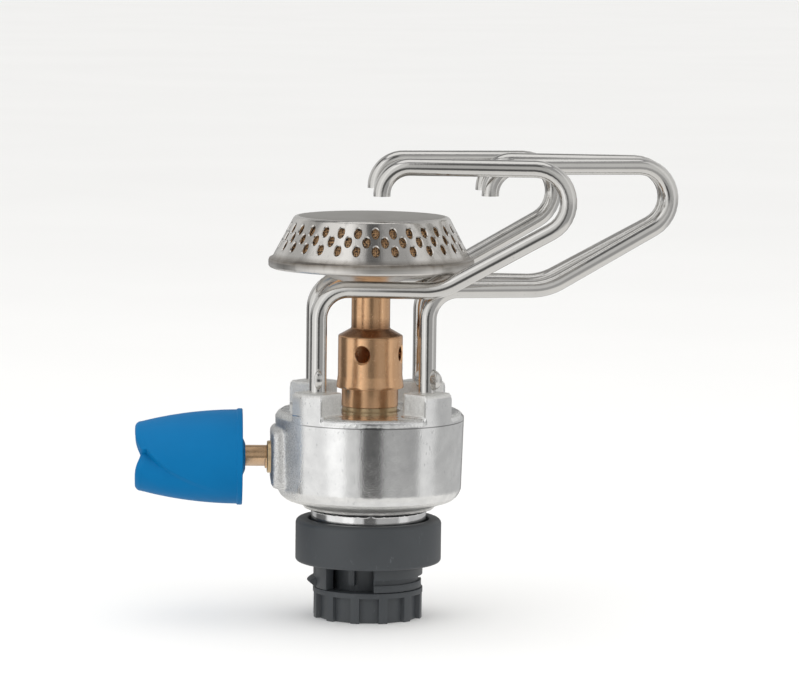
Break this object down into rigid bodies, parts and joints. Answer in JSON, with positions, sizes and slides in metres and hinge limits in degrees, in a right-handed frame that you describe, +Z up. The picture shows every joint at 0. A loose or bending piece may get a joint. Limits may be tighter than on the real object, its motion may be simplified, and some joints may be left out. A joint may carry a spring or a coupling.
{
  "type": "camping gas stove",
  "caption": "Compact gas stove that locks onto a cartridge, with wire pot supports that fold away, a round burner and a twisted control knob.",
  "frame": {"origin": "on the burner axis, at the foot of the connector, in the mouth of its bore", "axes": "+Z up along the burner axis, -X towards the control knob, +X towards the folded supports"},
  "size_m": [0.1267, 0.0484, 0.1092],
  "materials": {
    "cast_body": "drum turned bright, the rest rough as cast",
    "support_wire": "drawn stainless wire, polished",
    "spring_steel": "plain spring steel",
    "fibre": "pressed fibre",
    "brass": "turned brass",
    "sintered_bronze": "sintered bronze",
    "tube_brass": "drawn red brass, bright",
    "sheet_steel": "pressed stainless sheet, satin",
    "copper_gauze": "woven copper wire, dulled",
    "white_seal": "plain",
    "rubber": "moulded rubber",
    "knob_plastic": "moulded blue plastic, satin",
    "connector_plastic": "moulded dark grey plastic, satin"
  },
  "bodies": {
    "stove": {"valve_body": "cast_body", "support_snap_rings": "spring_steel", "jet_washer": "fibre", "jet_holder": "brass", "jet_filter": "sintered_bronze", "jet": "brass", "burner_tube": "tube_brass", "burner_pan": "sheet_steel", "burner_gauze": "copper_gauze", "burner_cap": "sheet_steel", "gland_washer": "white_seal", "gland_nut": "brass", "connector_collar": "connector_plastic", "connector_plug": "connector_plastic", "connector_screws": "spring_steel", "ring_circlip": "spring_steel", "inlet_nipple": "brass", "inlet_seal": "rubber", "inlet_filter": "sintered_bronze"},
    "front_left_wire": {"support_front_left": "support_wire"},
    "back_left_wire": {"support_back_left": "support_wire"},
    "front_right_wire": {"support_front_right": "support_wire"},
    "back_right_wire": {"support_back_right": "support_wire"},
    "spindle_slide": {"spindle_o_ring": "rubber"},
    "knob": {"control_knob": "knob_plastic", "valve_spindle": "brass", "knob_clip": "spring_steel"},
    "lock": {"locking_ring": "connector_plastic"}
  },
  "joints": [
    {"name": "support_front_left_fold", "type": "hinge", "parent": "stove", "child": "front_left_wire", "pos_m": [-0.0127, -0.0127, 0.0545], "axis": [0, 0, -1], "range_deg": [0, 127.5]},
    {"name": "support_front_right_fold", "type": "hinge", "parent": "stove", "child": "front_right_wire", "pos_m": [0.0127, -0.0127, 0.0545], "axis": [0, 0, -1], "range_deg": [0, 53.5]},
    {"name": "support_back_left_fold", "type": "hinge", "parent": "stove", "child": "back_left_wire", "pos_m": [-0.0127, 0.0127, 0.0545], "axis": [0, 0, 1], "range_deg": [0, 127.5]},
    {"name": "support_back_right_fold", "type": "hinge", "parent": "stove", "child": "back_right_wire", "pos_m": [0.0127, 0.0127, 0.0545], "axis": [0, 0, 1], "range_deg": [0, 53.5]},
    {"name": "spindle_travel", "type": "slide", "parent": "stove", "child": "spindle_slide", "axis": [-1, 0, 0], "range_m": [0, 0.0015]},
    {"name": "knob_turn", "type": "hinge", "parent": "spindle_slide", "child": "knob", "pos_m": [-0.037, 0, 0.0377], "axis": [-1, 0, 0], "range_deg": [0, 540]},
    {"name": "locking_ring_turn", "type": "hinge", "parent": "stove", "child": "lock", "pos_m": [0, 0, 0.0035], "axis": [0, 0, 1], "range_deg": [0, 60]}
  ],
  "couplings": [
    {"joint": "support_front_right_fold", "follows": "support_front_left_fold", "ratio": 0.4196},
    {"joint": "support_back_right_fold", "follows": "support_back_left_fold", "ratio": 0.4196},
    {"joint": "knob_turn", "follows": "spindle_travel", "rad_per_m": 6283.1}
  ]
}
